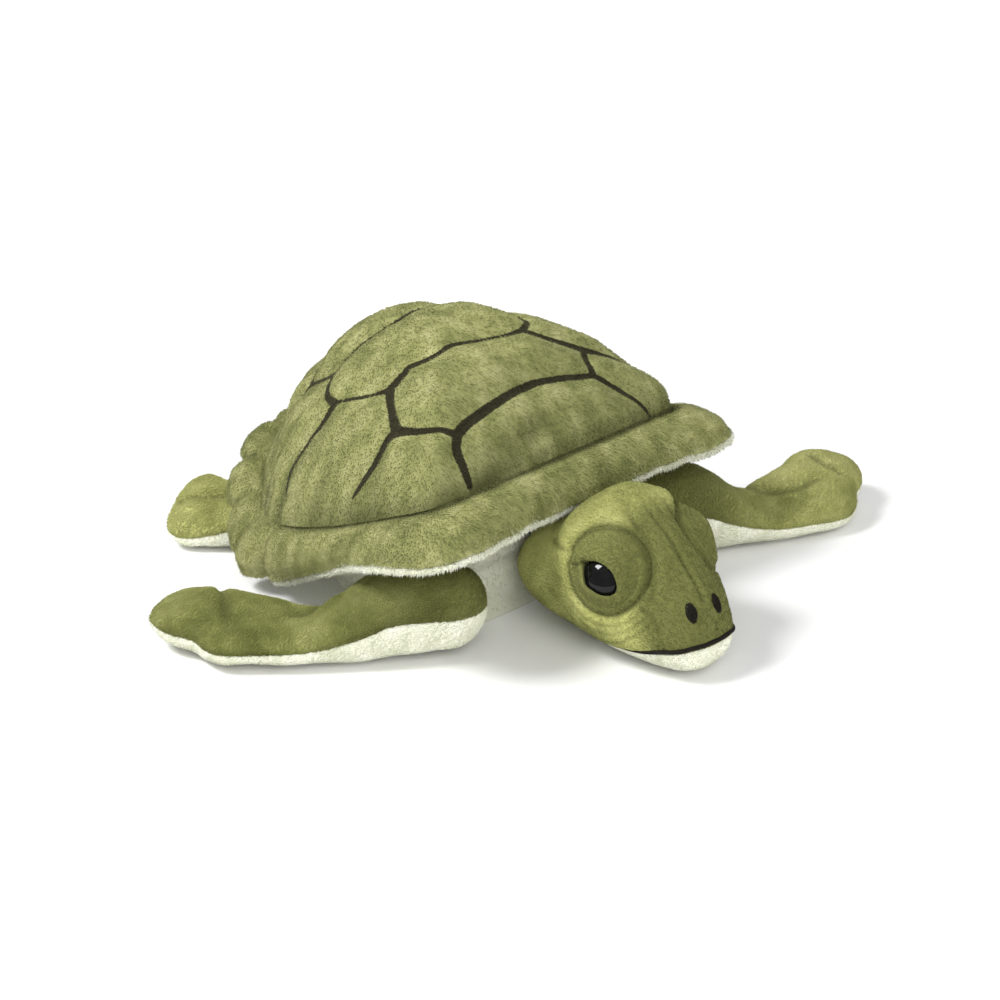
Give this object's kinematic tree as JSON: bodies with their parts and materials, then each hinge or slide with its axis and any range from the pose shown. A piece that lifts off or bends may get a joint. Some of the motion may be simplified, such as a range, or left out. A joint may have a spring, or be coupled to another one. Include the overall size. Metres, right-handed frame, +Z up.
{
  "type": "plush sea turtle",
  "caption": "Soft stuffed sea turtle lying on its belly: domed shell with a free fabric rim, turning and nodding head, flippers that sweep and lift.",
  "frame": {"origin": "on the belly's flat underside, level with the front half of the shell, in the surface the toy rests on", "axes": "+Z up out of the resting surface; the head looks towards -Y; the toy's left flippers reach towards +X"},
  "size_m": [0.2906, 0.242, 0.104],
  "materials": {
    "plush_green": "short pile plush",
    "plush_cream": "short pile plush",
    "thread_dark": "embroidery thread",
    "eye_black": "polished",
    "washer_plastic": "moulded",
    "fibre_filling": "loose fibre",
    "pouch_cloth": "plain woven"
  },
  "bodies": {
    "trunk": {"shell_dome": "plush_green", "shell_rim_top": "plush_green", "shell_rim_lining": "plush_cream", "belly_panel": "plush_cream", "body_stuffing": "fibre_filling", "pellet_pouch": "pouch_cloth"},
    "neck": {"neck_cover": "plush_cream", "neck_stuffing": "fibre_filling"},
    "head": {"head_cover": "plush_green", "chin_panel": "plush_cream", "head_stuffing": "fibre_filling", "mouth_line": "thread_dark", "eye_left": "eye_black", "eye_patch_left": "plush_green", "eye_washer_left": "washer_plastic", "nostril_left": "thread_dark", "eye_right": "eye_black", "eye_patch_right": "plush_green", "eye_washer_right": "washer_plastic", "nostril_right": "thread_dark"},
    "shoulder_left": {"shoulder_wad_left": "fibre_filling"},
    "front_flipper_left": {"front_flipper_left_top": "plush_green", "front_flipper_left_sole": "plush_cream", "front_flipper_left_stuffing": "fibre_filling"},
    "rear_flipper_left": {"rear_flipper_left_top": "plush_green", "rear_flipper_left_sole": "plush_cream", "rear_flipper_left_stuffing": "fibre_filling"},
    "shoulder_right": {"shoulder_wad_right": "fibre_filling"},
    "front_flipper_right": {"front_flipper_right_top": "plush_green", "front_flipper_right_sole": "plush_cream", "front_flipper_right_stuffing": "fibre_filling"},
    "rear_flipper_right": {"rear_flipper_right_top": "plush_green", "rear_flipper_right_sole": "plush_cream", "rear_flipper_right_stuffing": "fibre_filling"}
  },
  "joints": [
    {"name": "neck_turn", "type": "hinge", "parent": "trunk", "child": "neck", "pos_m": [0, -0.042, 0.028], "axis": [0, 0, 1], "range_deg": [-8, 20], "stiffness_Nm_per_rad": 0.25},
    {"name": "head_nod", "type": "hinge", "parent": "neck", "child": "head", "pos_m": [0, -0.042, 0.028], "axis": [-0.9945, 0.1045, 0], "range_deg": [-14, 2], "stiffness_Nm_per_rad": 0.35},
    {"name": "front_flipper_left_sweep", "type": "hinge", "parent": "trunk", "child": "shoulder_left", "pos_m": [0.057, -0.0315, 0.0185], "axis": [0, 0, -1], "range_deg": [-63, 12], "stiffness_Nm_per_rad": 0.15},
    {"name": "front_flipper_left_lift", "type": "hinge", "parent": "shoulder_left", "child": "front_flipper_left", "pos_m": [0.057, -0.0315, 0.0185], "axis": [-0.2756, -0.9613, 0], "range_deg": [-12, 15], "stiffness_Nm_per_rad": 0.2},
    {"name": "front_flipper_right_sweep", "type": "hinge", "parent": "trunk", "child": "shoulder_right", "pos_m": [-0.057, -0.0315, 0.0185], "axis": [0, 0, 1], "range_deg": [-2, 62], "stiffness_Nm_per_rad": 0.15},
    {"name": "front_flipper_right_lift", "type": "hinge", "parent": "shoulder_right", "child": "front_flipper_right", "pos_m": [-0.057, -0.0315, 0.0185], "axis": [0.7771, 0.6293, 0], "range_deg": [-12, 5], "stiffness_Nm_per_rad": 0.2},
    {"name": "rear_flipper_left_lift", "type": "hinge", "parent": "trunk", "child": "rear_flipper_left", "pos_m": [0.0285, 0.0725, 0.015], "axis": [0.848, -0.5299, 0], "range_deg": [-15, 2], "stiffness_Nm_per_rad": 0.15},
    {"name": "rear_flipper_right_lift", "type": "hinge", "parent": "trunk", "child": "rear_flipper_right", "pos_m": [-0.0285, 0.0725, 0.015], "axis": [0.848, 0.5299, 0], "range_deg": [-15, 2], "stiffness_Nm_per_rad": 0.15}
  ]
}
